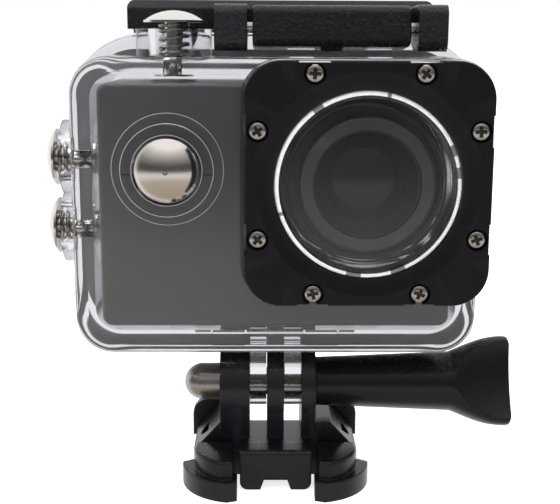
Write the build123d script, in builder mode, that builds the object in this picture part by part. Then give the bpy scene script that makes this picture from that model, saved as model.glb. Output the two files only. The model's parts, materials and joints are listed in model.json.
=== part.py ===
"""Action camera in a clear waterproof case, on a quick-release buckle.

Units are millimetres, +Z is up and the lens looks along -Y. The origin lies on the
underside of the buckle, directly below the tilt hinge.
"""
import math
import os

from build123d import *

os.makedirs("parts", exist_ok=True)

# Camera body
CAM_W, CAM_H, CAM_D = 59.3, 41.1, 21.5
CAM_FRONT = -8.0
CAM_FLOOR = 28.5
CAM_ROOF = CAM_FLOOR + CAM_H
CAM_BACK = CAM_FRONT + CAM_D
CAM_MID_Z = CAM_FLOOR + CAM_H / 2
SHELL = 1.4
SHELL_SPLIT = 7.0
CAM_R = 1.8

CAM_SCREWS = [(sx * 26.5, CAM_MID_Z + sz * 17.9) for sx in (-1, 1) for sz in (-1, 1)]

# Lens, centred on the square bezel
LENS_X, LENS_Z = 14.4, 54.0
BARREL_R = 10.75
GLASS_R = 8.7
COLLAR_R, COLLAR_FRONT = 12.6, -14.4
LENS_BORE_R = 6.6

# Clear case: front box, rear flange and door
CASE_W, CASE_FLOOR, CASE_ROOF = 68.2, 23.9, 74.0
CASE_FRONT, CASE_INNER_FRONT = -11.0, -8.4
CASE_R = 6.5
CAVITY_W, CAVITY_FLOOR, CAVITY_ROOF = 61.2, 28.0, 71.0
FLANGE_W, FLANGE_FLOOR, FLANGE_ROOF = 75.8, 19.8, 77.5
FLANGE_FRONT, FLANGE_REAR = 10.0, 13.9
FLANGE_UPPER_R, FLANGE_LOWER_R = 14.0, 8.5
DOOR_FRONT, DOOR_REAR = 14.3, 18.0
DOOR_FLOOR, DOOR_ROOF = 19.9, 78.0
CASE_MID_Z = (CASE_FLOOR + CASE_ROOF) / 2
CAVITY_MID_Z = (CAVITY_FLOOR + CAVITY_ROOF) / 2
FLANGE_MID_Z = (FLANGE_FLOOR + FLANGE_ROOF) / 2

# Square lens box and its screwed bezel
BOX_W, BOX_H, BOX_R = 40.6, 39.5, 6.4
BOX_FRONT = -15.2
BEZEL_W, BEZEL_H, BEZEL_R = 39.4, 39.0, 6.0
BEZEL_REAR, BEZEL_FRONT = -16.5, -18.5
BEZEL_HOLE_R = 15.05
WINDOW_R, WINDOW_FLANGE_R = 14.9, 17.6
SCREW_NEAR, SCREW_FAR = 8.6, 17.5
NOTCH_W, NOTCH_DEPTH = 5.0, 0.35
HEAD_R, HEAD_POCKET_R, DISH_R = 1.4, 1.75, 17.8

# Door hinge, latch lever pin, latch arm pin
HINGE_Y, HINGE_Z, HINGE_R = 16.5, 21.5, 2.2
LEVER_Y, LEVER_Z = 0.5, 77.5
CRANK, CRANK_ANGLE = 4.2, 165.0
ARM_Y = LEVER_Y + CRANK * math.cos(math.radians(CRANK_ANGLE))
ARM_Z = LEVER_Z + CRANK * math.sin(math.radians(CRANK_ANGLE))
LATCH_PIN_R = 0.9

# Push buttons through the case: axis origin, distance of the wall, boss end and cap from the camera's skin
BUTTON_STEM_R = 1.6
CLIP_R = 3.4
POCKET_R = 4.0
POCKET_DEPTH = 1.4
POWER_FOOT_R = 9.2

# Tilt hinge and buckle
TILT_Z = 15.8
PRONG_R = 7.5
BOLT_R = 2.45
CASE_PRONG_R = 4.25
GAP_IN, GAP_OUT = 1.5, 4.6
EAR_LEFT, EAR_RIGHT = -9.8, 7.1
GAP_FLOOR = 5.7
FINGER_PIVOT_X, FINGER_PIVOT_Y = 11.0, -0.5
FINGER_FRONT, NECK_W, NECK_H = -6.2, 4.0, 4.2


def depth(y):
    """Sketch plane at depth y: local axes are X and Z, the normal points to the front."""
    return Plane.XZ.offset(-y)


def side(x):
    """Sketch plane at x: local axes are Y and Z, the normal points to +X."""
    return Plane.YZ.offset(x)


def save(solid, node):
    solid.label = node
    export_step(solid, f"parts/{node}.step")


def front_edges(builder):
    return builder.faces().sort_by(Axis.Y)[0].edges()


def rear_edges(builder):
    return builder.faces().sort_by(Axis.Y)[-1].edges()


# A push button is described by the plane at the camera's skin, whose normal points outwards.
# wall is the outer face of the case there, boss its clear collar with a bore, and the cap has a rim, an apex
# and a thickness at the rim.
BUTTONS = {
    "power": dict(
        plane=Plane((-17.8, CAM_FRONT, 55.8), x_dir=(1, 0, 0), z_dir=(0, -1, 0)),
        wall=3.0, boss=5.6, boss_r=7.6, bore=5.7, cap_r=5.2, rim=6.0, apex=8.3, cap_t=0.9),
    "shutter": dict(
        plane=Plane((-17.5, 1.0, CAM_ROOF), x_dir=(1, 0, 0), z_dir=(0, 0, 1)),
        wall=4.4, boss=8.75, boss_r=6.5, bore=3.1, cap_r=5.2, rim=10.2, apex=11.9, cap_t=0.35),
    "up": dict(
        plane=Plane((-CAM_W / 2, 2.0, 56.4), x_dir=(0, 1, 0), z_dir=(-1, 0, 0)),
        wall=4.45, boss=7.45, boss_r=6.5, bore=3.1, cap_r=4.95, rim=8.9, apex=10.4, cap_t=0.35),
    "down": dict(
        plane=Plane((-CAM_W / 2, 2.0, 44.3), x_dir=(0, 1, 0), z_dir=(-1, 0, 0)),
        wall=4.45, boss=7.45, boss_r=6.5, bore=3.1, cap_r=4.95, rim=8.9, apex=10.4, cap_t=0.35),
}


# ---------------------------------------------------------------- clear case
with BuildPart() as case_body:
    with BuildSketch(depth(FLANGE_REAR)):
        with Locations((0, FLANGE_MID_Z)):
            Rectangle(FLANGE_W, FLANGE_ROOF - FLANGE_FLOOR)
        fillet(vertices().group_by(Axis.Y)[-1], FLANGE_UPPER_R)
        fillet(vertices().group_by(Axis.Y)[0], FLANGE_LOWER_R)
    extrude(amount=FLANGE_REAR - FLANGE_FRONT)
    fillet(front_edges(case_body), 1.2)
    with BuildSketch(depth(FLANGE_FRONT + 0.5)):
        with Locations((0, CASE_MID_Z)):
            RectangleRounded(CASE_W, CASE_ROOF - CASE_FLOOR, CASE_R)
    extrude(amount=FLANGE_FRONT + 0.5 - CASE_FRONT)
    fillet(front_edges(case_body), 2.6)
    with BuildSketch(depth(CASE_INNER_FRONT)):
        with Locations((LENS_X, LENS_Z)):
            RectangleRounded(BOX_W, BOX_H, BOX_R)
    extrude(amount=CASE_INNER_FRONT - BOX_FRONT)
    fillet(front_edges(case_body), 0.6)
    for button in BUTTONS.values():
        with BuildSketch(button["plane"].offset(button["wall"] - 0.4)):
            Circle(button["boss_r"])
        extrude(amount=button["boss"] - button["wall"] + 0.4)
    # Wide foot of the power button's collar
    power = BUTTONS["power"]
    with BuildSketch(power["plane"].offset(power["wall"] - 0.4)):
        Circle(POWER_FOOT_R)
    extrude(amount=1.4)
    # Prongs of the tilt hinge, under the floor
    for prong_x in (-GAP_OUT + 0.1, GAP_IN + 0.1):
        with BuildSketch(side(prong_x)):
            with Locations((0, TILT_Z)):
                Circle(CASE_PRONG_R)
            with Locations((0, CASE_FLOOR + 0.6)):
                Rectangle(14.0, 0.8)
            make_hull()
        extrude(amount=GAP_OUT - GAP_IN - 0.2)
    # Lugs of the latch lever, on the roof
    for lug_x in (2.2, 15.5):
        with BuildSketch(side(lug_x)):
            with Locations((LEVER_Y, LEVER_Z)):
                Circle(2.3)
            with Locations((LEVER_Y, (CASE_ROOF - 0.5 + LEVER_Z) / 2)):
                Rectangle(3.8, LEVER_Z - CASE_ROOF + 0.5)
        extrude(amount=4.1)
    # Lugs of the door hinge, reaching back from the flange
    for lug_x in (-11.6, 5.6):
        with BuildSketch(side(lug_x)):
            with Locations((HINGE_Y, HINGE_Z)):
                Circle(HINGE_R)
            with Locations(((FLANGE_REAR - 1 + HINGE_Y) / 2, HINGE_Z)):
                Rectangle(HINGE_Y - FLANGE_REAR + 1, 2 * HINGE_R)
        extrude(amount=6.0)
    # Cavity, lens bore and the holes of the buttons
    with BuildSketch(depth(FLANGE_REAR)):
        with Locations((0, CAVITY_MID_Z)):
            RectangleRounded(CAVITY_W, CAVITY_ROOF - CAVITY_FLOOR, 4.0)
    extrude(amount=FLANGE_REAR - CASE_INNER_FRONT, mode=Mode.SUBTRACT)
    with BuildSketch(depth(CASE_INNER_FRONT + 1)):
        with Locations((LENS_X, LENS_Z)):
            Circle(13.6)
    extrude(amount=12, mode=Mode.SUBTRACT)
    with BuildSketch(depth(BOX_FRONT + 1.2)):
        with Locations((LENS_X, LENS_Z)):
            Circle(WINDOW_FLANGE_R)
            Circle(WINDOW_FLANGE_R - 2.2, mode=Mode.SUBTRACT)
    extrude(amount=3, mode=Mode.SUBTRACT)
    for button in BUTTONS.values():
        with BuildSketch(button["plane"].offset(button["wall"])):
            Circle(button["bore"])
        extrude(amount=10, mode=Mode.SUBTRACT)
        with BuildSketch(button["plane"]):
            Circle(BUTTON_STEM_R + 0.05)
        extrude(amount=12, mode=Mode.SUBTRACT)
        with BuildSketch(button["plane"]):
            Circle(POCKET_R)
        extrude(amount=POCKET_DEPTH, mode=Mode.SUBTRACT)
    # Two drain slots through the power button's collar
    with BuildSketch(power["plane"].offset(power["wall"] + 1.4)):
        Rectangle(2 * power["boss_r"] + 1, 1.5)
    extrude(amount=4, mode=Mode.SUBTRACT)
    with BuildSketch(side(-GAP_OUT)):
        with Locations((0, TILT_Z)):
            Circle(BOLT_R + 0.05)
    extrude(amount=2 * GAP_OUT, mode=Mode.SUBTRACT)
    with BuildSketch(side(0)):
        with Locations((LEVER_Y, LEVER_Z)):
            Circle(LATCH_PIN_R + 0.03)
    extrude(amount=25, mode=Mode.SUBTRACT)
    with BuildSketch(side(0)):
        with Locations((HINGE_Y, HINGE_Z)):
            Circle(1.03)
    extrude(amount=20, both=True, mode=Mode.SUBTRACT)
    # Pilot holes of the bezel screws
    with BuildSketch(depth(BOX_FRONT + 3.2)):
        with Locations((LENS_X, LENS_Z)):
            for sx in (-1, 1):
                for sz in (-1, 1):
                    with Locations((sx * SCREW_NEAR, sz * SCREW_FAR), (sx * SCREW_FAR, sz * SCREW_NEAR)):
                        Circle(0.83)
    extrude(amount=4, mode=Mode.SUBTRACT)
save(case_body.part, "case_body")


def screw_places():
    """The eight places on the bezel, as X and Z."""
    places = []
    for sx in (-1, 1):
        for sz in (-1, 1):
            places.append((LENS_X + sx * SCREW_NEAR, LENS_Z + sz * SCREW_FAR))
            places.append((LENS_X + sx * SCREW_FAR, LENS_Z + sz * SCREW_NEAR))
    return places


def rim_notches():
    """Centres of the squares that cut the eight notches in the bezel's rim."""
    reach_x = (BEZEL_W + NOTCH_W) / 2 - NOTCH_DEPTH
    reach_z = (BEZEL_H + NOTCH_W) / 2 - NOTCH_DEPTH
    places = []
    for sx in (-1, 1):
        for sz in (-1, 1):
            places.append((LENS_X + sx * SCREW_NEAR, LENS_Z + sz * reach_z))
            places.append((LENS_X + sx * reach_x, LENS_Z + sz * SCREW_NEAR))
    return places


with BuildPart() as lens_bezel:
    with BuildSketch(depth(BOX_FRONT)):
        with Locations((LENS_X, LENS_Z)):
            RectangleRounded(BEZEL_W, BEZEL_H, BEZEL_R)
    extrude(amount=BOX_FRONT - BEZEL_FRONT)
    fillet(front_edges(lens_bezel), 0.5)
    with BuildSketch(depth(BOX_FRONT)):
        with Locations(*rim_notches()):
            Rectangle(NOTCH_W, NOTCH_W)
    extrude(amount=5, mode=Mode.SUBTRACT)
    # Dished ring around the window: a flat cone, 0.5 deep at the hole
    for ahead in (1, -1):
        with BuildSketch(depth(BEZEL_FRONT - ahead)):
            with Locations((LENS_X, LENS_Z)):
                Circle(DISH_R + 5.5 * ahead)
    loft(mode=Mode.SUBTRACT)
    with BuildSketch(depth(BOX_FRONT)):
        with Locations((LENS_X, LENS_Z)):
            Circle(WINDOW_FLANGE_R + 0.1)
    extrude(amount=BOX_FRONT - BEZEL_REAR, mode=Mode.SUBTRACT)
    with BuildSketch(depth(BOX_FRONT)):
        with Locations((LENS_X, LENS_Z)):
            Circle(BEZEL_HOLE_R)
    extrude(amount=5, mode=Mode.SUBTRACT)
    with BuildSketch(depth(BOX_FRONT)):
        with Locations(*screw_places()):
            Circle(0.9)
    extrude(amount=5, mode=Mode.SUBTRACT)
    with BuildSketch(depth(BEZEL_FRONT + 1.1)):
        with Locations(*screw_places()):
            Circle(HEAD_POCKET_R)
    extrude(amount=3, mode=Mode.SUBTRACT)
save(lens_bezel.part, "lens_bezel")

with BuildPart() as bezel_screws:
    with BuildSketch(depth(BOX_FRONT + 3.0)):
        with Locations(*screw_places()):
            Circle(0.78)
    extrude(amount=3.0 + BOX_FRONT - BEZEL_FRONT - 1.1)
    with BuildSketch(depth(BEZEL_FRONT + 1.1)):
        with Locations(*screw_places()):
            Circle(HEAD_R)
    extrude(amount=1.0)
    fillet(bezel_screws.faces().group_by(Axis.Y)[0].edges(), 0.45)
    with BuildSketch(depth(BEZEL_FRONT + 0.55)):
        with Locations(*screw_places()):
            Rectangle(1.9, 0.34)
            Rectangle(0.34, 1.9)
    extrude(amount=1, mode=Mode.SUBTRACT)
save(bezel_screws.part, "bezel_screws")

with BuildPart() as lens_window:
    with BuildSketch(depth(BOX_FRONT - 0.05)):
        with Locations((LENS_X, LENS_Z)):
            Circle(WINDOW_FLANGE_R)
    extrude(amount=BOX_FRONT - 0.05 - BEZEL_REAR - 0.02)
    with BuildSketch(depth(BOX_FRONT - 0.05)):
        with Locations((LENS_X, LENS_Z)):
            Circle(WINDOW_R)
    extrude(amount=2.95)
    chamfer(front_edges(lens_window), 1.2)
    with BuildSketch(depth(BOX_FRONT)):
        with Locations((LENS_X, LENS_Z)):
            Circle(12.5)
    extrude(amount=1.8, mode=Mode.SUBTRACT)
save(lens_window.part, "lens_window")

with BuildPart() as window_seal:
    with BuildSketch(depth(BOX_FRONT + 1.15)):
        with Locations((LENS_X, LENS_Z)):
            Circle(WINDOW_FLANGE_R - 0.1)
            Circle(WINDOW_FLANGE_R - 2.1, mode=Mode.SUBTRACT)
    extrude(amount=1.18)
save(window_seal.part, "window_seal")

# ---------------------------------------------------------------- rear door
SEAL_W, SEAL_H, SEAL_R, SEAL_T = 66.8, 48.4, 9.0, 2.4

with BuildPart() as case_door:
    with BuildSketch(depth(DOOR_REAR)):
        with Locations((0, (DOOR_FLOOR + DOOR_ROOF) / 2)):
            Rectangle(FLANGE_W, DOOR_ROOF - DOOR_FLOOR)
        fillet(vertices().group_by(Axis.Y)[-1], FLANGE_UPPER_R)
        fillet(vertices().group_by(Axis.Y)[0], FLANGE_LOWER_R)
    extrude(amount=DOOR_REAR - DOOR_FRONT)
    fillet(front_edges(case_door), 0.8)
    # Sloped catch for the latch along the upper rear edge
    with BuildSketch(side(-FLANGE_W / 2)):
        with BuildLine():
            Polyline((16.68, DOOR_ROOF), (19.08, DOOR_ROOF - 2.0), (19.08, DOOR_ROOF + 1), (16.68, DOOR_ROOF + 1),
                     close=True)
        make_face()
    extrude(amount=FLANGE_W, mode=Mode.SUBTRACT)
    # Lower edge is rounded off so that it clears the flange as the door swings
    with BuildSketch(side(-FLANGE_W / 2)):
        with Locations(((DOOR_FRONT + HINGE_Y) / 2 - 1, HINGE_Z - 2)):
            Rectangle(HINGE_Y - DOOR_FRONT + 2, 4)
        with Locations((HINGE_Y, HINGE_Z)):
            Circle(HINGE_R, mode=Mode.SUBTRACT)
    extrude(amount=FLANGE_W, mode=Mode.SUBTRACT)
    # Knuckles
    for knuckle_x, length in ((-15.0, 3.1), (-5.3, 10.6), (11.9, 3.1)):
        with BuildSketch(side(knuckle_x)):
            with Locations((HINGE_Y, HINGE_Z)):
                Circle(HINGE_R)
        extrude(amount=length)
    for notch_x in (-11.9, 5.3):
        with BuildSketch(side(notch_x)):
            with Locations((HINGE_Y, HINGE_Z)):
                Rectangle(2 * 4.0, 2 * (HINGE_R + 0.3))
        extrude(amount=6.6, mode=Mode.SUBTRACT)
    with BuildSketch(side(0)):
        with Locations((HINGE_Y, HINGE_Z)):
            Circle(1.05)
    extrude(amount=20, both=True, mode=Mode.SUBTRACT)
    # Groove for the seal and a shallow window recess behind the screen
    with BuildSketch(depth(DOOR_FRONT + 1.2)):
        with Locations((0, 49.6)):
            RectangleRounded(SEAL_W + SEAL_T, SEAL_H + SEAL_T, SEAL_R)
            RectangleRounded(SEAL_W - SEAL_T, SEAL_H - SEAL_T, SEAL_R - 1, mode=Mode.SUBTRACT)
    extrude(amount=3, mode=Mode.SUBTRACT)
    with BuildSketch(depth(DOOR_REAR - 0.6)):
        with Locations((0, CAM_MID_Z)):
            RectangleRounded(52, 37, 3)
    extrude(amount=-2, mode=Mode.SUBTRACT)
save(case_door.part, "case_door")

with BuildPart() as door_seal:
    with BuildSketch(depth(DOOR_FRONT + 1.18)):
        with Locations((0, 49.6)):
            RectangleRounded(SEAL_W + SEAL_T - 0.1, SEAL_H + SEAL_T - 0.1, SEAL_R)
            RectangleRounded(SEAL_W - SEAL_T + 0.1, SEAL_H - SEAL_T + 0.1, SEAL_R - 1, mode=Mode.SUBTRACT)
    extrude(amount=1.35)
save(door_seal.part, "door_seal")

with BuildPart() as door_hinge_pin:
    with BuildSketch(side(-14.8)):
        with Locations((HINGE_Y, HINGE_Z)):
            Circle(1.0)
    extrude(amount=29.6)
save(door_hinge_pin.part, "door_hinge_pin")

# ---------------------------------------------------------------- latch
LEVER_LEFT, LEVER_RIGHT = -4.0, 22.1
BLOCKS = ((-10.3, -4.9), (23.3, 28.1))
BAR_LEFT, BAR_RIGHT = -26.4, 28.1

with BuildPart() as latch_lever:
    with BuildSketch(side(LEVER_LEFT)):
        with BuildLine():
            Polyline((2.0, 74.9), (-7.2, 75.6), (-7.2, 82.2), (1.0, 82.2), (3.5, 79.0), (3.5, 77.0), close=True)
        make_face()
        fillet(vertices().group_by(Axis.X)[0], 1.5)
    extrude(amount=LEVER_RIGHT - LEVER_LEFT)
    for end in (0, -1):
        outline = latch_lever.faces().sort_by(Axis.X)[end].edges()
        fillet(outline.group_by(Axis.Y)[0], 0.6)
    # Tooth under the lever's front
    with BuildSketch(side(7.3)):
        with BuildLine():
            Polyline((-6.2, 76.4), (-5.7, 74.8), (-4.2, 74.8), (-3.6, 76.4), close=True)
        make_face()
    extrude(amount=3.6)
    # Slots over the two lugs of the case
    for slot_x in (1.9, 15.2):
        with BuildSketch(side(slot_x)):
            with BuildLine():
                Polyline((-2.2, 73), (5, 73), (5, 81), (2.1, 80.5), (-1.2, 80.5), (-2.2, 79.5), close=True)
            make_face()
        extrude(amount=4.7, mode=Mode.SUBTRACT)
    with BuildSketch(side(LEVER_LEFT + 1.2)):
        with Locations((LEVER_Y, LEVER_Z)):
            Circle(LATCH_PIN_R + 0.05)
    extrude(amount=LEVER_RIGHT - LEVER_LEFT - 2.4, mode=Mode.SUBTRACT)
    with BuildSketch(side(LEVER_LEFT)):
        with Locations((ARM_Y, ARM_Z)):
            Circle(LATCH_PIN_R + 0.05)
    extrude(amount=LEVER_RIGHT - LEVER_LEFT, mode=Mode.SUBTRACT)
save(latch_lever.part, "latch_lever")

with BuildPart() as latch_arm:
    # Rear bar with its sloped hook, matching the catch on the door
    with BuildSketch(side(BAR_LEFT)):
        with BuildLine():
            Polyline((8.5, 78.5), (16.78, 78.5), (18.46, 77.1), (20.1, 77.1), (20.6, 77.8), (20.6, 82.2),
                     (19.2, 83.6), (10.0, 83.6), (8.5, 82.1), close=True)
        make_face()
    extrude(amount=BAR_RIGHT - BAR_LEFT)
    for end in (0, -1):
        fillet(latch_arm.faces().sort_by(Axis.X)[end].edges().filter_by(GeomType.LINE).group_by(Axis.Z)[-1], 1.3)
    for left, right in BLOCKS:
        with BuildSketch(side(left)):
            with Locations((ARM_Y, ARM_Z)):
                RectangleRounded(7.4, 7.6, 1.9)
            with Locations((9.0, 80.3)):
                Rectangle(1.0, 3.6)
            make_hull()
        extrude(amount=right - left)
    with BuildSketch(side(-9.3)):
        with Locations((ARM_Y, ARM_Z)):
            Circle(LATCH_PIN_R + 0.05)
    extrude(amount=36.4, mode=Mode.SUBTRACT)
save(latch_arm.part, "latch_arm")

with BuildPart() as latch_lever_pin:
    with BuildSketch(side(LEVER_LEFT + 1.4)):
        with Locations((LEVER_Y, LEVER_Z)):
            Circle(LATCH_PIN_R)
    extrude(amount=LEVER_RIGHT - LEVER_LEFT - 2.8)
save(latch_lever_pin.part, "latch_lever_pin")

with BuildPart() as latch_arm_pin:
    with BuildSketch(side(-9.1)):
        with Locations((ARM_Y, ARM_Z)):
            Circle(LATCH_PIN_R)
    extrude(amount=36.0)
save(latch_arm_pin.part, "latch_arm_pin")


# ---------------------------------------------------------------- buttons of the case and of the camera
for name, button in BUTTONS.items():
    half = Plane(button["plane"].origin, x_dir=button["plane"].x_dir, z_dir=button["plane"].y_dir * -1)
    axis = Axis(button["plane"].origin, button["plane"].z_dir)
    with BuildPart() as case_button:
        cap_r, rim, apex = button["cap_r"], button["rim"], button["apex"]
        underside = rim - button["cap_t"]
        dome_r = (cap_r ** 2 + (apex - rim) ** 2) / (2 * (apex - rim))
        mid_height = apex - dome_r + math.sqrt(dome_r ** 2 - (cap_r / 2) ** 2)
        with BuildSketch(half):
            with BuildLine():
                ThreePointArc((cap_r, rim), (cap_r / 2, mid_height), (0, apex))
                Polyline((0, apex), (0, 0.85), (BUTTON_STEM_R, 0.85), (BUTTON_STEM_R, underside),
                         (cap_r, underside), (cap_r, rim))
            make_face()
        revolve(axis=axis, revolution_arc=360)
        with BuildSketch(button["plane"].offset(0.85)):
            Circle(BUTTON_STEM_R + 0.5)
            Circle(BUTTON_STEM_R - 0.35, mode=Mode.SUBTRACT)
        extrude(amount=0.45, mode=Mode.SUBTRACT)
    save(case_button.part, f"{name}_button")

    with BuildPart() as button_clip:
        with BuildSketch(button["plane"].offset(0.87)):
            Circle(CLIP_R)
            Circle(BUTTON_STEM_R - 0.33, mode=Mode.SUBTRACT)
            with Locations((0, -CLIP_R)):
                Rectangle(1.6, 2 * CLIP_R, mode=Mode.SUBTRACT)
        extrude(amount=0.41)
    save(button_clip.part, f"{name}_button_clip")

    coil_base = button["wall"] + 0.05
    coil_top = button["rim"] - button["cap_t"] - 0.05
    coil_r = 2.45
    wire_r = 0.3
    with BuildPart() as button_spring:
        for turn in range(max(2, round((coil_top - coil_base) / 1.5))):
            turns = max(2, round((coil_top - coil_base) / 1.5))
            height = coil_base + wire_r + turn * (coil_top - coil_base - 2 * wire_r) / (turns - 1)
            with BuildSketch(half):
                with Locations((coil_r, height)):
                    Circle(wire_r)
            revolve(axis=axis, revolution_arc=360)
        with BuildSketch(button["plane"].offset(coil_base + wire_r)):
            with Locations((coil_r, 0)):
                Rectangle(0.36, 0.5)
        extrude(amount=coil_top - coil_base - 2 * wire_r)
    save(button_spring.part, f"{name}_button_spring")

    with BuildPart() as camera_button:
        with BuildSketch(button["plane"].offset(-1.5)):
            Circle(3.9)
        extrude(amount=1.8)
        fillet(camera_button.faces().filter_by(Plane(button["plane"].origin, z_dir=button["plane"].z_dir))[-1:].edges(),
               0.25)
    save(camera_button.part, f"camera_{name}_button")


# ---------------------------------------------------------------- camera
with BuildPart() as camera_front_shell:
    with BuildSketch(depth(SHELL_SPLIT)):
        with Locations((0, CAM_MID_Z)):
            RectangleRounded(CAM_W, CAM_H, CAM_R)
    extrude(amount=SHELL_SPLIT - CAM_FRONT)
    fillet(front_edges(camera_front_shell), 0.8)
    with BuildSketch(depth(SHELL_SPLIT)):
        with Locations((0, CAM_MID_Z)):
            RectangleRounded(CAM_W - 2 * SHELL, CAM_H - 2 * SHELL, 1.2)
    extrude(amount=SHELL_SPLIT - CAM_FRONT - SHELL, mode=Mode.SUBTRACT)
    # Collar around the lens
    with BuildSketch(depth(CAM_FRONT + 1)):
        with Locations((LENS_X, LENS_Z)):
            Circle(COLLAR_R)
    extrude(amount=CAM_FRONT + 1 - COLLAR_FRONT)
    fillet(front_edges(camera_front_shell), 0.25)
    with BuildSketch(depth(0)):
        with Locations((LENS_X, LENS_Z)):
            Circle(COLLAR_R - 0.8)
    extrude(amount=20, mode=Mode.SUBTRACT)
    for button in BUTTONS.values():
        with BuildSketch(button["plane"].offset(-2.0)):
            Circle(4.1)
        extrude(amount=4, mode=Mode.SUBTRACT)
    with BuildSketch(Plane.XY.offset(CAM_FLOOR - 1)):
        with Locations((-13.0, 0.9)):
            Rectangle(31.2, 10.6)
    extrude(amount=3, mode=Mode.SUBTRACT)
save(camera_front_shell.part, "camera_front_shell")

with BuildPart() as camera_rear_shell:
    with BuildSketch(depth(CAM_BACK)):
        with Locations((0, CAM_MID_Z)):
            RectangleRounded(CAM_W, CAM_H, CAM_R)
    extrude(amount=CAM_BACK - SHELL_SPLIT)
    fillet(rear_edges(camera_rear_shell), 0.8)
    with BuildSketch(depth(CAM_BACK - SHELL)):
        with Locations((0, CAM_MID_Z)):
            RectangleRounded(CAM_W - 2 * SHELL, CAM_H - 2 * SHELL, 1.2)
    extrude(amount=CAM_BACK - SHELL - SHELL_SPLIT + 1, mode=Mode.SUBTRACT)
    with BuildSketch(depth(CAM_BACK + 1)):
        with Locations((0, CAM_MID_Z)):
            RectangleRounded(46.2, 35.2, 1.2)
    extrude(amount=4, mode=Mode.SUBTRACT)
    with BuildSketch(Plane.XY.offset(CAM_FLOOR - 1)):
        with Locations((-13.0, 0.9)):
            Rectangle(31.2, 10.6)
    extrude(amount=3, mode=Mode.SUBTRACT)
    with BuildSketch(side(CAM_W / 2 - 3)):
        with Locations((8.9, 41.5)):
            Rectangle(1.6, 11.8)
    extrude(amount=5, mode=Mode.SUBTRACT)
    # Posts for the four screws of the camera
    with BuildSketch(depth(CAM_BACK - SHELL + 0.2)):
        with Locations(*CAM_SCREWS):
            Circle(1.5)
    extrude(amount=5.0)
    with BuildSketch(depth(CAM_BACK)):
        with Locations(*CAM_SCREWS):
            Circle(1.2)
    extrude(amount=0.8, mode=Mode.SUBTRACT)
    with BuildSketch(depth(CAM_BACK)):
        with Locations(*CAM_SCREWS):
            Circle(0.7)
    extrude(amount=8, mode=Mode.SUBTRACT)
save(camera_rear_shell.part, "camera_rear_shell")

CONE_REAR, GLASS_SEAT = -12.6, -15.3

with BuildPart() as lens_barrel:
    with BuildSketch(depth(4.5)):
        with Locations((LENS_X, LENS_Z)):
            Circle(COLLAR_R - 0.85)
    extrude(amount=4.5 + 13.2)
    with BuildSketch(depth(-13.0)):
        with Locations((LENS_X, LENS_Z)):
            Circle(BARREL_R)
    extrude(amount=3.5)
    fillet(front_edges(lens_barrel), 0.35)
    with BuildSketch(depth(4.5)):
        with Locations((LENS_X, LENS_Z)):
            Circle(LENS_BORE_R)
    extrude(amount=30, mode=Mode.SUBTRACT)
    # Cone behind the front glass, then the seat of the glass
    for y, radius in ((CONE_REAR, LENS_BORE_R), (GLASS_SEAT, GLASS_R - 0.4)):
        with BuildSketch(depth(y)):
            with Locations((LENS_X, LENS_Z)):
                Circle(radius)
    loft(mode=Mode.SUBTRACT)
    with BuildSketch(depth(GLASS_SEAT)):
        with Locations((LENS_X, LENS_Z)):
            Circle(GLASS_R)
    extrude(amount=3, mode=Mode.SUBTRACT)
save(lens_barrel.part, "lens_barrel")

with BuildPart() as lens_front_element:
    with BuildSketch(depth(GLASS_SEAT - 0.02)):
        with Locations((LENS_X, LENS_Z)):
            Circle(GLASS_R - 0.05)
    extrude(amount=0.85)
    fillet(front_edges(lens_front_element), 0.3)
save(lens_front_element.part, "lens_front_element")

# Inner element: a domed disc at the foot of the cone
INNER_R, INNER_RISE, INNER_RIM, INNER_REAR = LENS_BORE_R - 0.1, 1.4, -11.0, -9.0
INNER_APEX = INNER_RIM - INNER_RISE
INNER_DOME_R = (INNER_R ** 2 + INNER_RISE ** 2) / (2 * INNER_RISE)
INNER_MID = INNER_APEX + INNER_DOME_R - math.sqrt(INNER_DOME_R ** 2 - (INNER_R / 2) ** 2)

with BuildPart() as lens_rear_element:
    with BuildSketch(Plane.XY.offset(LENS_Z)):
        with BuildLine():
            Polyline((LENS_X, INNER_APEX), (LENS_X, INNER_REAR), (LENS_X + INNER_R, INNER_REAR),
                     (LENS_X + INNER_R, INNER_RIM))
            ThreePointArc((LENS_X + INNER_R, INNER_RIM), (LENS_X + INNER_R / 2, INNER_MID), (LENS_X, INNER_APEX))
        make_face()
    revolve(axis=Axis((LENS_X, 0, LENS_Z), (0, 1, 0)), revolution_arc=360)
save(lens_rear_element.part, "lens_rear_element")

with BuildPart() as image_sensor:
    with Locations((LENS_X, 5.8, LENS_Z)):
        Box(9.0, 2.3, 7.6)
save(image_sensor.part, "image_sensor")

with BuildPart() as main_board:
    with BuildSketch(depth(8.2)):
        with Locations((0, CAM_MID_Z)):
            RectangleRounded(48.8, 36.6, 1.0)
    extrude(amount=1.0)
save(main_board.part, "main_board")

with BuildPart() as battery:
    with Locations((-12.6, 0.9, 47.0)):
        Box(28.2, 9.6, 33.2)
    fillet(battery.edges().filter_by(Axis.Z), 1.5)
save(battery.part, "battery")

with BuildPart() as battery_door:
    with BuildSketch(Plane.XY.offset(CAM_FLOOR + 0.1)):
        with Locations((-13.0, 0.9)):
            RectangleRounded(31.0, 10.4, 0.6)
    extrude(amount=1.2)
save(battery_door.part, "battery_door")

with BuildPart() as lcd_panel:
    with BuildSketch(depth(11.9)):
        with Locations((0, CAM_MID_Z)):
            RectangleRounded(46.0, 35.0, 0.8)
    extrude(amount=2.2)
save(lcd_panel.part, "lcd_panel")

with BuildPart() as lcd_window:
    with BuildSketch(depth(CAM_BACK - 0.1)):
        with Locations((0, CAM_MID_Z)):
            RectangleRounded(46.0, 35.0, 1.1)
    extrude(amount=1.2)
save(lcd_window.part, "lcd_window")

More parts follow.
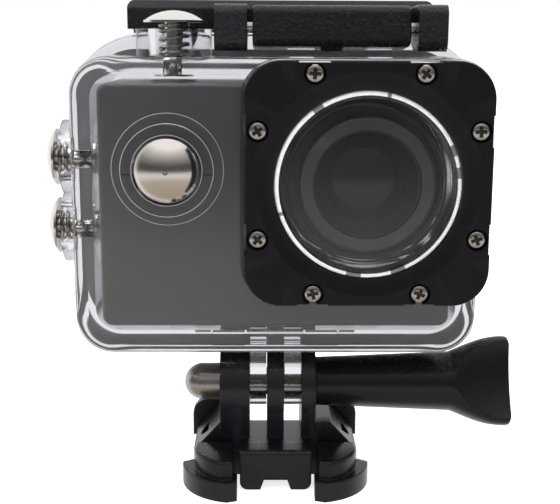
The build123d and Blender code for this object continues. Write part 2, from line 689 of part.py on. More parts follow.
with BuildPart() as speaker:
    with BuildSketch(depth(-2.6)):
        with Locations((22.0, 35.5)):
            Circle(4.6)
    extrude(amount=3.2)
save(speaker.part, "speaker")

with BuildPart() as memory_card:
    with Locations((21.6, 8.9, 41.5)):
        Box(15.0, 1.0, 11.0)
save(memory_card.part, "memory_card")

with BuildPart() as camera_screws:
    with BuildSketch(depth(CAM_BACK - 0.1)):
        with Locations(*CAM_SCREWS):
            Circle(1.1)
    extrude(amount=0.65)
    with BuildSketch(depth(CAM_BACK - 0.4)):
        with Locations(*CAM_SCREWS):
            Circle(0.65)
    extrude(amount=5.5)
save(camera_screws.part, "camera_screws")


# ---------------------------------------------------------------- buckle
with BuildPart() as buckle_base:
    with BuildSketch(Plane.XY):
        with Locations((0, 2.0)):
            RectangleRounded(29.2, 15.0, 1.2)
    extrude(amount=4.6)
    # Centre block with round lower corners
    with BuildSketch(depth(-5.0)):
        with Locations((0, 3.5)):
            Rectangle(12.4, 7.0)
        fillet(vertices().group_by(Axis.Y)[0], 1.4)
    extrude(amount=7.0)
    fillet(front_edges(buckle_base).sort_by(Axis.Z)[-1:], 0.8)
    # Gussets either side of the pedestal
    with BuildSketch(depth(6.0)):
        with BuildLine():
            Polyline((-14.4, 4.0), (-14.4, 4.9), (-9.9, 9.8), (9.9, 9.8), (14.4, 4.9), (14.4, 4.0), close=True)
        make_face()
    extrude(amount=11.4)
    # Two ears and a middle prong, with their round tops on the tilt axis
    for left, right in ((EAR_LEFT, -GAP_OUT), (-GAP_IN, GAP_IN), (GAP_OUT, EAR_RIGHT)):
        with BuildSketch(side(left)):
            with Locations((0, TILT_Z)):
                Circle(PRONG_R)
            with BuildLine():
                Polyline((-PRONG_R, TILT_Z), (-5.4, 7.8), (-5.4, 4.0), (6.5, 4.0), (6.9, 8.0), (PRONG_R, TILT_Z),
                         close=True)
            make_face()
        extrude(amount=right - left)
    # Upright wings behind, each with a round outer shoulder
    for wing in (-1, 1):
        with BuildSketch(depth(9.3)):
            with Locations((wing * 12.1, 6.1)):
                Rectangle(6.8, 7.0)
            fillet(vertices().group_by(Axis.Y)[-1].sort_by(Axis.X)[0 if wing < 0 else -1], 2.8)
        extrude(amount=1.9)
    # Gaps between the prongs
    for gap_x in (-GAP_OUT, GAP_IN):
        with BuildSketch(side(gap_x)):
            with Locations((0, GAP_FLOOR + 12)):
                Rectangle(2 * PRONG_R + 0.2, 24)
        extrude(amount=GAP_OUT - GAP_IN, mode=Mode.SUBTRACT)
    # Bolt hole, hexagonal nut pocket
    with BuildSketch(side(EAR_LEFT)):
        with Locations((0, TILT_Z)):
            Circle(BOLT_R + 0.15)
    extrude(amount=EAR_RIGHT - EAR_LEFT, mode=Mode.SUBTRACT)
    with BuildSketch(side(EAR_LEFT)):
        with Locations((0, TILT_Z)):
            RegularPolygon(4.1, 6, major_radius=False)
    extrude(amount=3.9, mode=Mode.SUBTRACT)
    # Notch between the two feet, seats of the side fingers
    with BuildSketch(depth(-8.0)):
        with BuildLine():
            Polyline((-2.7, -0.1), (-1.9, 2.1), (1.9, 2.1), (2.7, -0.1), close=True)
        make_face()
    extrude(amount=5, mode=Mode.SUBTRACT)
    with BuildSketch(Plane.XY):
        with Locations((-FINGER_PIVOT_X, FINGER_PIVOT_Y), (FINGER_PIVOT_X, FINGER_PIVOT_Y)):
            Circle(2.45)
    extrude(amount=7.4, mode=Mode.SUBTRACT)
    # Slots in which the fingers' necks swing inwards
    with BuildSketch(Plane.XY):
        for sign in (-1, 1):
            with BuildLine():
                Polyline((sign * (FINGER_PIVOT_X + NECK_W / 2 + 0.15), FINGER_PIVOT_Y),
                         (sign * (FINGER_PIVOT_X + NECK_W / 2 + 0.15), FINGER_FRONT - 0.4),
                         (sign * (FINGER_PIVOT_X - NECK_W / 2 - 0.8), FINGER_FRONT - 0.4),
                         (sign * (FINGER_PIVOT_X - NECK_W / 2 - 0.15), FINGER_PIVOT_Y), close=True)
            make_face()
    extrude(amount=NECK_H + 0.25, mode=Mode.SUBTRACT)
save(buckle_base.part, "buckle_base")


for node, sign in (("buckle_finger_left", -1), ("buckle_finger_right", 1)):
    def at(x, y, sign=sign):
        """Point of a finger's outline, mirrored for the left one."""
        return (sign * x, y)

    # Springy finger: round root in the base, barb plate in front and a raised pad on it
    with BuildPart() as finger:
        with BuildSketch(Plane.XY):
            with BuildLine():
                Polyline(at(14.0, -6.2), at(16.3, -7.6), at(16.3, -8.4))
                ThreePointArc(at(16.3, -8.4), at(13.6, -14.2), at(8.3, -17.2))
                Polyline(at(8.3, -17.2), at(6.6, -16.6), at(6.6, -13.4), at(7.5, -12.2), at(7.5, -6.2), at(14.0, -6.2))
            make_face()
        extrude(amount=3.4)
        with BuildSketch(Plane.XY.offset(2.6)):
            with BuildLine():
                Polyline(at(14.0, -6.2), at(14.2, -9.0))
                ThreePointArc(at(14.2, -9.0), at(12.6, -13.2), at(9.2, -15.8))
                Polyline(at(9.2, -15.8), at(7.4, -15.4), at(7.4, -12.6), at(7.5, -6.2), at(14.0, -6.2))
            make_face()
        extrude(amount=4.0)
        fillet(finger.faces().sort_by(Axis.Z)[-1].edges(), 0.5)
        with BuildSketch(Plane.XY):
            with Locations(at(FINGER_PIVOT_X, FINGER_PIVOT_Y)):
                Circle(2.2)
            with Locations(at(FINGER_PIVOT_X, (FINGER_PIVOT_Y + FINGER_FRONT - 0.6) / 2)):
                Rectangle(NECK_W, FINGER_PIVOT_Y - FINGER_FRONT + 0.6)
        extrude(amount=NECK_H)
    save(finger.part, node)

NUT_R, NUT_STRAIGHT = 3.3, 3.3

with BuildPart() as cap_nut:
    with BuildSketch(side(EAR_LEFT + 0.02)):
        with Locations((0, TILT_Z)):
            RegularPolygon(4.0, 6, major_radius=False)
    extrude(amount=3.8)
    # Domed end, turned about the hinge axis
    dome_start = EAR_LEFT - NUT_STRAIGHT
    dome_mid = NUT_R * math.sqrt(0.5)
    with BuildSketch(Plane.XZ):
        with BuildLine():
            Polyline((EAR_LEFT + 0.8, TILT_Z), (EAR_LEFT + 0.8, TILT_Z + NUT_R), (dome_start, TILT_Z + NUT_R))
            ThreePointArc((dome_start, TILT_Z + NUT_R), (dome_start - dome_mid, TILT_Z + dome_mid),
                          (dome_start - NUT_R, TILT_Z))
            Line((dome_start - NUT_R, TILT_Z), (EAR_LEFT + 0.8, TILT_Z))
        make_face()
    revolve(axis=Axis((0, 0, TILT_Z), (1, 0, 0)))
    with BuildSketch(side(EAR_LEFT + 4)):
        with Locations((0, TILT_Z)):
            Circle(BOLT_R + 0.05)
    extrude(amount=-7.4, mode=Mode.SUBTRACT)
save(cap_nut.part, "cap_nut")

with BuildPart() as thumb_screw_bolt:
    with BuildSketch(side(EAR_LEFT - 2.6)):
        with Locations((0, TILT_Z)):
            Circle(BOLT_R)
    extrude(amount=26 - EAR_LEFT + 2.6)
    chamfer(thumb_screw_bolt.edges().sort_by(Axis.X)[0], 0.5)
save(thumb_screw_bolt.part, "thumb_screw_bolt")

# Knob: a cone with a paddle, which rests leaning back.
# Each paddle section is its distance from the neck, thickness, height and corner radius.
KNOB_START, KNOB_NECK, KNOB_END = EAR_RIGHT + 0.15, 31.4, 42.2
KNOB_LEAN = 20
KNOB_ROOT_R, KNOB_NECK_R = 4.35, 5.35
PADDLE = ((0.0, 10.6, 10.6, 5.25), (3.0, 10.2, 13.0, 4.6), (6.0, 9.4, 15.1, 3.6),
          (KNOB_END - KNOB_NECK, 8.4, 15.9, 2.4))
SCOOP_R, SCOOP_DEPTH = 21.0, 1.7

with BuildPart() as thumb_screw_knob:
    for x, radius in ((KNOB_START, KNOB_ROOT_R), (KNOB_NECK, KNOB_NECK_R)):
        with BuildSketch(side(x)):
            with Locations((0, TILT_Z)):
                Circle(radius)
    loft()
    for along, thick, high, corner in PADDLE:
        with BuildSketch(side(KNOB_NECK + along)):
            with Locations((0, TILT_Z)):
                RectangleRounded(thick, high, corner, rotation=-KNOB_LEAN)
    loft()
    fillet(thumb_screw_knob.faces().sort_by(Axis.X)[-1].edges(), 0.7)
    # Thumb scoops on both faces of the paddle
    reach = 4.2 - SCOOP_DEPTH + SCOOP_R
    for face_side in (-1, 1):
        scoop_y = face_side * reach * math.cos(math.radians(KNOB_LEAN))
        scoop_z = TILT_Z - face_side * reach * math.sin(math.radians(KNOB_LEAN))
        with Locations((KNOB_END + 0.4, scoop_y, scoop_z)):
            Sphere(SCOOP_R, mode=Mode.SUBTRACT)
    with BuildSketch(side(KNOB_START - 1)):
        with Locations((0, TILT_Z)):
            Circle(BOLT_R + 0.02)
    extrude(amount=26.1 - KNOB_START + 1, mode=Mode.SUBTRACT)
save(thumb_screw_knob.part, "thumb_screw_knob")
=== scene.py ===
"""Looks of the action camera: materials, detailed pieces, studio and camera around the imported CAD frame."""
import json
import math

import bmesh
import bpy
from mathutils import Matrix, Vector
from random import Random


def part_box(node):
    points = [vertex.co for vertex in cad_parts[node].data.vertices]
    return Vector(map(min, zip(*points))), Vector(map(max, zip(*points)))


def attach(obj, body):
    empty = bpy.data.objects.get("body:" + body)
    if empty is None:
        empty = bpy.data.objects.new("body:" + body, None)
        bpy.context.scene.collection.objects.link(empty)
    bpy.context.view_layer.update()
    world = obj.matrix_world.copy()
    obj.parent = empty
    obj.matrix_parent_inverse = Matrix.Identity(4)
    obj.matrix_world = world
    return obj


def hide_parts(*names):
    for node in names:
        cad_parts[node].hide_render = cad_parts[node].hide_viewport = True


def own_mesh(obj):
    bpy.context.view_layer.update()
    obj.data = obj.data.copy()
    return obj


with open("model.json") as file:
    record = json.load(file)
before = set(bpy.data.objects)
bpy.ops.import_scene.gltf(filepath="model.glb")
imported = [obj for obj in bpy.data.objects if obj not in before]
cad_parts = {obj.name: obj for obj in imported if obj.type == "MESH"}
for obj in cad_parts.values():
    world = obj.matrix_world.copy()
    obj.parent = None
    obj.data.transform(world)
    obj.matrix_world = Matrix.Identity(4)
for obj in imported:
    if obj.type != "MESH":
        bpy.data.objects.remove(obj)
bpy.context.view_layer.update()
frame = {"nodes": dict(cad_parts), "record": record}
NODES = frame["nodes"]
MM = 0.001

BUTTON_NAMES = ("power", "shutter", "up", "down")


# ---------------------------------------------------------------- places, from the frame
def centre(node):
    low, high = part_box(node)
    return (low + high) / 2


def face_y(node):
    """Depth of a node's front face."""
    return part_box(node)[0].y


LENS = centre("lens_window")


# ---------------------------------------------------------------- materials
def node_material(name):
    mat = bpy.data.materials.new(name)
    mat.use_nodes = True
    shader = mat.node_tree.nodes["Principled BSDF"]
    return mat, mat.node_tree, shader


def set_sockets(shader, values):
    for key, value in values.items():
        shader.inputs[key].default_value = value


def finish(name, dark, light, rough, grain_mm=1.0, bump_um=3.0, edge_sheen=0.0, pebble_mm=0.0, edge_mm=0.0,
           **sockets):
    """Procedural finish: colour between dark and light and roughness between two values follow a fine noise,
    grain_mm is the size of that noise and bump_um the height of its relief. edge_sheen brightens the colour of
    sharp edges as a painted highlight, pebble_mm adds a moulded pebble grain of that size, and edge_mm rounds
    the shading of sharp edges."""
    mat, tree, shader = node_material(name)
    nodes, links = tree.nodes, tree.links
    place = nodes.new("ShaderNodeTexCoord")
    noise = nodes.new("ShaderNodeTexNoise")
    noise.inputs["Scale"].default_value = 1 / (grain_mm * MM)
    noise.inputs["Detail"].default_value = 5
    links.new(place.outputs["Object"], noise.inputs["Vector"])
    colour = nodes.new("ShaderNodeMix")
    colour.data_type = "RGBA"
    colour.inputs["A"].default_value = (*dark, 1)
    colour.inputs["B"].default_value = (*light, 1)
    links.new(noise.outputs["Fac"], colour.inputs["Factor"])
    result = colour.outputs["Result"]
    # Painted highlight: sharp edges, found by Pointiness, get a lighter colour
    if edge_sheen:
        geometry = nodes.new("ShaderNodeNewGeometry")
        edge = nodes.new("ShaderNodeMapRange")
        edge.inputs["From Min"].default_value = 0.53
        edge.inputs["From Max"].default_value = 0.62
        edge.inputs["To Max"].default_value = edge_sheen
        links.new(geometry.outputs["Pointiness"], edge.inputs["Value"])
        edge_lit = nodes.new("ShaderNodeMix")
        edge_lit.data_type = "RGBA"
        edge_lit.inputs["B"].default_value = tuple(min(1, 4 * c + 0.05) for c in light) + (1,)
        links.new(edge.outputs["Result"], edge_lit.inputs["Factor"])
        links.new(result, edge_lit.inputs["A"])
        result = edge_lit.outputs["Result"]
    links.new(result, shader.inputs["Base Color"])
    spread = nodes.new("ShaderNodeMapRange")
    spread.inputs["From Min"].default_value = 0.3
    spread.inputs["From Max"].default_value = 0.7
    spread.inputs["To Min"].default_value = rough[0]
    spread.inputs["To Max"].default_value = rough[1]
    links.new(noise.outputs["Fac"], spread.inputs["Value"])
    links.new(spread.outputs["Result"], shader.inputs["Roughness"])
    height = noise.outputs["Fac"]
    bump = nodes.new("ShaderNodeBump")
    bump.inputs["Distance"].default_value = bump_um * 1e-6
    links.new(height, bump.inputs["Height"])
    if edge_mm:
        rounded = nodes.new("ShaderNodeBevel")
        rounded.samples = 6
        rounded.inputs["Radius"].default_value = edge_mm * MM
        links.new(rounded.outputs["Normal"], bump.inputs["Normal"])
    if pebble_mm:
        cells = nodes.new("ShaderNodeTexVoronoi")
        cells.feature = "SMOOTH_F1"
        cells.inputs["Scale"].default_value = 1 / (pebble_mm * MM)
        links.new(place.outputs["Object"], cells.inputs["Vector"])
        pebbles = nodes.new("ShaderNodeBump")
        pebbles.inputs["Distance"].default_value = pebble_mm * MM * 0.25
        pebbles.invert = True
        links.new(cells.outputs["Distance"], pebbles.inputs["Height"])
        links.new(bump.outputs["Normal"], pebbles.inputs["Normal"])
        links.new(pebbles.outputs["Normal"], shader.inputs["Normal"])
    else:
        links.new(bump.outputs["Normal"], shader.inputs["Normal"])
    set_sockets(shader, sockets)
    return mat


def clear(name, tint, rough, ior, bump_um):
    """Clear moulded plastic or glass with a faint flow ripple in its surface."""
    return finish(name, tuple(0.985 * c for c in tint), tint, rough, grain_mm=6.0, bump_um=bump_um,
                  **{"Transmission Weight": 1.0, "IOR": ior})


def steel(name, dark, light, rough, **more):
    return finish(name, dark, light, rough, grain_mm=0.6, bump_um=2.0, **{"Metallic": 1.0, **more})


MATERIALS = {
    "clear_polycarbonate": clear("clear_case", (0.905, 0.91, 0.93), (0.04, 0.11), 1.5, 0.25),
    "window_glass": clear("window", (0.96, 0.97, 0.99), (0.0, 0.0), 1.45, 0.0),
    "black_bezel": finish("bezel_black", (0.004, 0.004, 0.005), (0.007, 0.007, 0.009), (0.26, 0.35),
                          0.4, 0.4, 0.06, edge_mm=0.25, **{"Specular IOR Level": 0.12}),
    "black_textured": finish("latch_black", (0.004, 0.0045, 0.006), (0.009, 0.01, 0.013), (0.2, 0.3), 0.7, 2.0,
                             0.04, pebble_mm=0.42, edge_mm=0.8, **{"Specular IOR Level": 0.42}),
    "black_nylon": finish("mount_black", (0.003, 0.0035, 0.005), (0.006, 0.0068, 0.009), (0.22, 0.3),
                          0.35, 0.15, 0.05, edge_mm=0.4, **{"Specular IOR Level": 0.36}),
    "grey_shell": finish("camera_grey", (0.19, 0.19, 0.198), (0.21, 0.21, 0.218), (0.3, 0.4), 0.3, 0.4),
    "chrome_button": steel("chrome", (0.78, 0.755, 0.73), (0.84, 0.815, 0.79), (0.12, 0.19)),
    "screw_steel": steel("screw_steel", (0.52, 0.5, 0.48), (0.66, 0.64, 0.62), (0.16, 0.3)),
    "spring_steel": steel("spring_steel", (0.42, 0.41, 0.4), (0.6, 0.58, 0.56), (0.15, 0.3)),
    "seal_rubber": finish("seal", (0.5, 0.5, 0.53), (0.6, 0.6, 0.63), (0.5, 0.7), 0.8, 6.0),
    "black_barrel": finish("barrel_grey", (0.085, 0.085, 0.088), (0.1, 0.1, 0.103), (0.34, 0.44),
                           0.25, 0.2, 0.1),
    "lens_glass": finish("lens_coating", (0.004, 0.004, 0.004), (0.006, 0.006, 0.005), (0.05, 0.06),
                         8.0, 0.0, 0, **{"Specular IOR Level": 0.4}),
    "board_green": finish("board", (0.01, 0.09, 0.04), (0.02, 0.14, 0.06), (0.3, 0.45), 0.8, 6.0),
    "sensor_dark": finish("sensor", (0.01, 0.01, 0.02), (0.03, 0.03, 0.06), (0.1, 0.2), 0.3, 1.0),
    "battery_wrap": finish("battery", (0.03, 0.03, 0.035), (0.05, 0.05, 0.055), (0.4, 0.55), 0.8, 5.0),
    "screen_dark": finish("screen", (0.004, 0.004, 0.005), (0.007, 0.007, 0.009), (0.05, 0.1), 5.0, 0.5),
    "card_black": finish("card", (0.02, 0.02, 0.02), (0.035, 0.035, 0.035), (0.4, 0.55), 0.5, 4.0),
}
SATIN_STEEL = steel("satin_steel", (0.42, 0.41, 0.4), (0.52, 0.5, 0.49), (0.26, 0.36))
GLASS_CLEAR = clear("front_glass", (0.9, 0.91, 0.93), (0.0, 0.0), 1.2, 0.0)


def black_beyond(mat, inner_mm, outer_mm):
    """The material turns black nearer to the lens axis than inner_mm and farther from it than outer_mm."""
    tree = mat.node_tree
    nodes, links = tree.nodes, tree.links
    shader = nodes["Principled BSDF"]
    place = nodes.new("ShaderNodeTexCoord")
    offset = nodes.new("ShaderNodeVectorMath")
    offset.operation = "SUBTRACT"
    offset.inputs[1].default_value = (LENS.x, 0, LENS.z)
    flat = nodes.new("ShaderNodeVectorMath")
    flat.operation = "MULTIPLY"
    flat.inputs[1].default_value = (1, 0, 1)
    radius = nodes.new("ShaderNodeVectorMath")
    radius.operation = "LENGTH"
    links.new(place.outputs["Object"], offset.inputs[0])
    links.new(offset.outputs["Vector"], flat.inputs[0])
    links.new(flat.outputs["Vector"], radius.inputs[0])
    colour = shader.inputs["Base Color"].links[0].from_socket
    for limit_mm, black_inside in ((inner_mm, True), (outer_mm, False)):
        edge = nodes.new("ShaderNodeMapRange")
        edge.inputs["From Min"].default_value = (limit_mm - 0.05) * MM
        edge.inputs["From Max"].default_value = (limit_mm + 0.05) * MM
        links.new(radius.outputs["Value"], edge.inputs["Value"])
        mix = nodes.new("ShaderNodeMix")
        mix.data_type = "RGBA"
        black, kept = ("A", "B") if black_inside else ("B", "A")
        mix.inputs[black].default_value = (0.003, 0.003, 0.004, 1)
        links.new(colour, mix.inputs[kept])
        links.new(edge.outputs["Result"], mix.inputs["Factor"])
        colour = mix.outputs["Result"]
    links.new(colour, shader.inputs["Base Color"])


black_beyond(MATERIALS["black_barrel"], 8.75, 10.75)
black_beyond(MATERIALS["grey_shell"], 13.8, 200.0)

SLOT_OF = {row["node"]: row["material_slot"] for row in frame["record"]["subparts"]}


def dress(obj, mat):
    obj.data.materials.clear()
    obj.data.materials.append(mat)


for node, obj in NODES.items():
    dress(obj, MATERIALS[SLOT_OF[node]])
dress(NODES["cap_nut"], SATIN_STEEL)
dress(NODES["lens_front_element"], GLASS_CLEAR)


# ---------------------------------------------------------------- wound springs of the push buttons
COIL_R, WIRE_R = 2.45 * MM, 0.27 * MM
OUTWARD = {"power": Vector((0, -1, 0)), "shutter": Vector((0, 0, 1)),
           "up": Vector((-1, 0, 0)), "down": Vector((-1, 0, 0))}


def coil(name, base, outward, length, turns):
    """A wound compression spring with closed ends, from base along outward."""
    across = outward.orthogonal().normalized()
    other = outward.cross(across)
    steps, around = 28 * turns, 10
    mesh = bmesh.new()
    rings = []
    for step in range(steps + 1):
        share = step / steps
        # The end turns lie flat and the middle ones share the height
        eased = share * share * (3 - 2 * share)
        angle = 2 * math.pi * turns * share
        radial = across * math.cos(angle) + other * math.sin(angle)
        middle = base + outward * (WIRE_R + (length - 2 * WIRE_R) * eased) + radial * COIL_R
        rings.append([mesh.verts.new(middle + WIRE_R * (radial * math.cos(a) + outward * math.sin(a)))
                      for a in (2 * math.pi * i / around for i in range(around))])
    for ring, following in zip(rings, rings[1:]):
        for i in range(around):
            j = (i + 1) % around
            mesh.faces.new((ring[i], ring[j], following[j], following[i]))
    mesh.faces.new(rings[0])
    mesh.faces.new(reversed(rings[-1]))
    bmesh.ops.recalc_face_normals(mesh, faces=mesh.faces)
    for face in mesh.faces:
        face.smooth = True
    data = bpy.data.meshes.new(name)
    mesh.to_mesh(data)
    mesh.free()
    obj = bpy.data.objects.new(name, data)
    bpy.context.scene.collection.objects.link(obj)
    return obj


for button in BUTTON_NAMES:
    node = f"{button}_button_spring"
    low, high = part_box(node)
    outward = OUTWARD[button]
    length = abs((high - low).dot(outward))
    base = (low + high) / 2 - outward * length / 2
    spring = coil(f"{button}_spring_coil", base, outward, length, max(2, round(length / (1.1 * MM))))
    dress(spring, MATERIALS["spring_steel"])
    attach(spring, "case")
    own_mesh(spring)
    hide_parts(node)


# ---------------------------------------------------------------- pan-head screws of the bezel
HEAD_R, SCREW_NEAR = 1.4 * MM, 8.6 * MM
HEAD_CROWN, HEAD_SKIRT = 0.32 * MM, 0.62 * MM
CROSS_HALF_W, CROSS_HALF_L, CROSS_DEPTH = 0.26 * MM, 0.86 * MM, 0.5 * MM
HEAD_GRID = 44


def new_piece(name, mesh, *mats):
    bmesh.ops.recalc_face_normals(mesh, faces=mesh.faces)
    for face in mesh.faces:
        face.smooth = True
    data = bpy.data.meshes.new(name)
    mesh.to_mesh(data)
    mesh.free()
    for mat in mats:
        data.materials.append(mat)
    obj = bpy.data.objects.new(name, data)
    bpy.context.scene.collection.objects.link(obj)
    return obj


def screw_centres():
    """X and Z of the eight heads: the outer box of the heads, less their radius, holds the pattern."""
    low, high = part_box("bezel_screws")
    far_x, far_z = (high.x - low.x) / 2 - HEAD_R, (high.z - low.z) / 2 - HEAD_R
    for sx in (-1, 1):
        for sz in (-1, 1):
            yield LENS.x + sx * SCREW_NEAR, LENS.z + sz * far_z
            yield LENS.x + sx * far_x, LENS.z + sz * SCREW_NEAR


def inside_cross(x, z):
    """1 in the cross recess, 0 outside it, with sloped walls in between."""
    def share(value, limit):
        return min(1, max(0, (limit - abs(value)) / (0.09 * MM) + 0.5))
    return max(share(x, CROSS_HALF_W) * share(z, CROSS_HALF_L), share(x, CROSS_HALF_L) * share(z, CROSS_HALF_W))


def pan_heads():
    mesh = bmesh.new()
    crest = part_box("bezel_screws")[0].y
    for index, (cx, cz) in enumerate(screw_centres()):
        turn = math.radians((37 * index + 12) % 90)
        rows = []
        for i in range(HEAD_GRID + 1):
            row = []
            for j in range(HEAD_GRID + 1):
                a, b = 2 * i / HEAD_GRID - 1, 2 * j / HEAD_GRID - 1
                x, z = HEAD_R * a * math.sqrt(1 - b * b / 2), HEAD_R * b * math.sqrt(1 - a * a / 2)
                out = min(1, math.hypot(x, z) / HEAD_R)
                depth = HEAD_CROWN * (1 - math.sqrt(max(0, 1 - out ** 3))) + CROSS_DEPTH * inside_cross(x, z)
                row.append(mesh.verts.new((cx + x * math.cos(turn) - z * math.sin(turn), crest + depth,
                                           cz + x * math.sin(turn) + z * math.cos(turn))))
            rows.append(row)
        for i in range(HEAD_GRID):
            for j in range(HEAD_GRID):
                face = mesh.faces.new((rows[i][j], rows[i + 1][j], rows[i + 1][j + 1], rows[i][j + 1]))
                middle = face.calc_center_median()
                # Faces sunk into the cross take the darker second material: painted shade in the recess
                face.material_index = int(middle.y > crest + HEAD_CROWN + 0.06 * MM)
        rim = (rows[0][:-1] + [row[-1] for row in rows[:-1]]
               + rows[-1][:0:-1] + [row[0] for row in rows[:0:-1]])
        foot = [mesh.verts.new((v.co.x, crest + HEAD_SKIRT, v.co.z)) for v in rim]
        for k in range(len(rim)):
            n = (k + 1) % len(rim)
            mesh.faces.new((rim[k], rim[n], foot[n], foot[k]))
        mesh.faces.new(foot)
    # Dark steel for the cross recess: painted shade
    recess = steel("screw_cross_painted_shade", (0.05, 0.05, 0.05), (0.11, 0.1, 0.1), (0.3, 0.45))
    heads = new_piece("bezel_screw_heads", mesh, MATERIALS["screw_steel"], recess)
    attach(heads, "case")
    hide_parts("bezel_screws")


pan_heads()


# ---------------------------------------------------------------- ground edge of the lens window, with painted glints
# Radius and depth behind the window's front face, in mm
EDGE_PROFILE = ((14.87, 0.5), (14.62, 0.1), (14.2, -0.02), (14.2, 0.6))
EDGE_SEGMENTS = 150


def window_edge():
    """Ground rim of the window: narrow facets of slightly different slope, coloured light grey for the whitish
    ground edge and for painted glints, with short dark breaks of painted shade between them."""
    random = Random(7)
    mesh = bmesh.new()
    front = face_y("lens_window")
    segments = EDGE_SEGMENTS
    profile = EDGE_PROFILE
    loops = [[] for _ in profile]
    for k in range(segments):
        angle = 2 * math.pi * k / segments
        wobble = random.uniform(-0.1, 0.1)
        for row, (radius, depth) in enumerate(profile):
            radius += wobble if row == 1 else 0
            loops[row].append(mesh.verts.new((LENS.x + radius * MM * math.cos(angle), front + depth * MM,
                                              LENS.z + radius * MM * math.sin(angle))))
    # Painted shade: short runs of facets take the dark material, as breaks between the painted glints
    painted_break_left = 0
    for k in range(segments):
        if painted_break_left == 0 and random.random() < 0.07:
            painted_break_left = random.randint(2, 5)
        painted_break_left = max(0, painted_break_left - 1)
        for first, second in zip(loops, loops[1:] + loops[:1]):
            n = (k + 1) % segments
            mesh.faces.new((first[k], first[n], second[n], second[k])).material_index = int(painted_break_left > 0)
    bright = finish("ground_edge_painted_glint", (0.46, 0.46, 0.48), (0.74, 0.74, 0.76), (0.15, 0.3), 0.5, 1.0)
    dim = finish("glass_edge_painted_dark_break", (0.1, 0.1, 0.105), (0.16, 0.16, 0.17), (0.15, 0.3), 0.5, 1.0)
    edge = new_piece("lens_window_edge", mesh, bright, dim)
    for polygon in edge.data.polygons:
        polygon.use_smooth = False
    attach(edge, "case")


window_edge()


# ---------------------------------------------------------------- painted glints on the moulded edges around the power button
POWER_APEX_MM = 8.3
COLLAR_EDGES = ((9.15, 4.0), (7.55, 5.6), (5.75, 5.6))
EDGE_WIRE_R = 0.05 * MM


def collar_edges():
    """Thin light-grey rings on the rounded lips of the clear collar: painted highlights for the thin circles of
    light those lips catch. Each has a radius and a height in mm above the face the button stands on."""
    middle = centre("power_button")
    rest = face_y("power_button") + POWER_APEX_MM * MM
    mesh = bmesh.new()
    steps, around = 96, 8
    for radius_mm, height_mm in COLLAR_EDGES:
        rings = []
        for k in range(steps):
            angle = 2 * math.pi * k / steps
            outward = Vector((math.cos(angle), 0, math.sin(angle)))
            heart = Vector((middle.x, rest - height_mm * MM, middle.z)) + outward * radius_mm * MM
            rings.append([mesh.verts.new(heart + EDGE_WIRE_R * (outward * math.cos(a)
                                                                + Vector((0, math.sin(a), 0))))
                          for a in (2 * math.pi * i / around for i in range(around))])
        for k in range(steps):
            for i in range(around):
                n, j = (k + 1) % steps, (i + 1) % around
                mesh.faces.new((rings[k][i], rings[k][j], rings[n][j], rings[n][i]))
    lip = finish("collar_painted_glint", (0.3, 0.3, 0.32), (0.4, 0.4, 0.42), (0.15, 0.25), 0.5, 0.5)
    edges = new_piece("power_collar_painted_glints", mesh, lip)
    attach(edges, "case")


collar_edges()


# ---------------------------------------------------------------- studio and camera
# Colours of the studio as gloss shows it, from straight down (-1) to straight up (1)
STUDIO_GLOSS = (
    (-1.0, (0.42, 0.35, 0.28)), (-0.5, (0.5, 0.43, 0.36)), (-0.3, (0.74, 0.72, 0.69)),
    (-0.2, (0.72, 0.71, 0.71)),
    (-0.12, (0.34, 0.33, 0.32)), (-0.04, (0.08, 0.08, 0.085)), (0.16, (0.08, 0.075, 0.07)),
    (0.4, (0.27, 0.25, 0.23)),
    (0.65, (0.56, 0.53, 0.51)), (0.85, (1.0, 0.96, 0.95)), (1.0, (1.0, 0.98, 0.97)))


def studio_world():
    """White for the camera and for diffuse light. Gloss shows a dark wall between a warm table and a bright
    ceiling."""
    world = bpy.data.worlds.new("studio")
    bpy.context.scene.world = world
    world.use_nodes = True
    nodes, links = world.node_tree.nodes, world.node_tree.links
    place = nodes.new("ShaderNodeTexCoord")
    split = nodes.new("ShaderNodeSeparateXYZ")
    links.new(place.outputs["Generated"], split.inputs["Vector"])
    height = nodes.new("ShaderNodeMapRange")
    height.inputs["From Min"].default_value = -1
    links.new(split.outputs["Z"], height.inputs["Value"])
    ramp = nodes.new("ShaderNodeValToRGB")
    links.new(height.outputs["Result"], ramp.inputs["Fac"])
    stops = ramp.color_ramp.elements
    for index, (z, colour) in enumerate(STUDIO_GLOSS):
        place_on_ramp = (z + 1) / 2
        stop = stops[index] if index < 2 else stops.new(place_on_ramp)
        stop.position = place_on_ramp
        stop.color = (*colour, 1)
    # The backdrop behind the object is white, so the gradient only fills the side of the lens
    facing = nodes.new("ShaderNodeMapRange")
    facing.interpolation_type = "SMOOTHSTEP"
    facing.inputs["From Min"].default_value = 0.3
    facing.inputs["From Max"].default_value = -0.15
    links.new(split.outputs["Y"], facing.inputs["Value"])
    kind = nodes.new("ShaderNodeLightPath")
    seen = nodes.new("ShaderNodeMath")
    seen.use_clamp = True
    links.new(kind.outputs["Is Glossy Ray"], seen.inputs[0])
    links.new(kind.outputs["Is Transmission Ray"], seen.inputs[1])
    share = nodes.new("ShaderNodeMath")
    share.operation = "MULTIPLY"
    links.new(seen.outputs["Value"], share.inputs[0])
    links.new(facing.outputs["Result"], share.inputs[1])
    mix = nodes.new("ShaderNodeMix")
    mix.data_type = "RGBA"
    mix.inputs["A"].default_value = (1, 1, 1, 1)
    links.new(ramp.outputs["Color"], mix.inputs["B"])
    links.new(share.outputs["Value"], mix.inputs["Factor"])
    links.new(mix.outputs["Result"], nodes["Background"].inputs["Color"])
    nodes["Background"].inputs["Strength"].default_value = 1.0


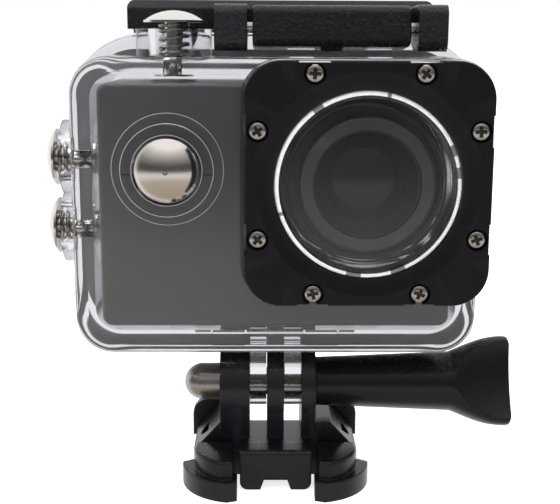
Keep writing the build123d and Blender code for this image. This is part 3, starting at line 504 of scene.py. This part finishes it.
def studio():
    studio_world()
    floor_mesh = bpy.data.meshes.new("floor")
    floor_mesh.from_pydata([(-3, -3, 0), (3, -3, 0), (3, 3, 0), (-3, 3, 0)], [], [(0, 1, 2, 3)])
    floor = bpy.data.objects.new("floor", floor_mesh)
    bpy.context.scene.collection.objects.link(floor)
    dress(floor, finish("floor_white", (0.8, 0.8, 0.8), (0.84, 0.84, 0.84), (0.8, 0.9), 20, 2.0,
                        **{"Emission Color": (1, 1, 1, 1), "Emission Strength": 0.75,
                           "Specular IOR Level": 0.0}))
    floor.location.z = -0.02 * MM
    floor.visible_glossy = False
    floor.visible_transmission = False
    for name, place, aim, size, power, tint in (
            ("top_softbox", (-0.1, -0.1, 0.7), (0, 0, 0.05), 0.5, 2.5, (1, 0.98, 0.97)),
            ("left_softbox", (-0.6, -0.25, 0.35), (0, 0, 0.05), 0.4, 1.2, (0.97, 0.98, 1))):
        light = bpy.data.lights.new(name, "AREA")
        light.size = size
        light.energy = power
        light.color = tint
        lamp = bpy.data.objects.new(name, light)
        bpy.context.scene.collection.objects.link(lamp)
        lamp.location = place
        lamp.rotation_euler = (Vector(aim) - Vector(place)).to_track_quat("-Z", "Y").to_euler()
        lamp.visible_camera = False
        lamp.visible_glossy = False


def camera():
    """Stands in front of the lens, a little above it, and looks slightly down."""
    place = Vector((-2.02, -178.24, 75.83)) * MM
    yaw, pitch, roll = math.radians(0.90), math.radians(11.45), math.radians(-0.26)
    ahead = Vector((math.sin(yaw) * math.cos(pitch), math.cos(yaw) * math.cos(pitch), -math.sin(pitch)))
    right = Vector((math.cos(yaw), -math.sin(yaw), 0))
    down = ahead.cross(right)
    side = right * math.cos(roll) + down * math.sin(roll)
    up = right * math.sin(roll) - down * math.cos(roll)
    data = bpy.data.cameras.new("camera")
    data.lens = 65.81
    data.sensor_width = 36
    data.clip_start = 0.01
    obj = bpy.data.objects.new("camera", data)
    bpy.context.scene.collection.objects.link(obj)
    turn = Matrix((side, up, -ahead)).transposed().to_4x4()
    obj.matrix_world = Matrix.Translation(place) @ turn
    bpy.context.scene.camera = obj


studio()
camera()
bpy.context.scene.view_settings.view_transform = "Standard"
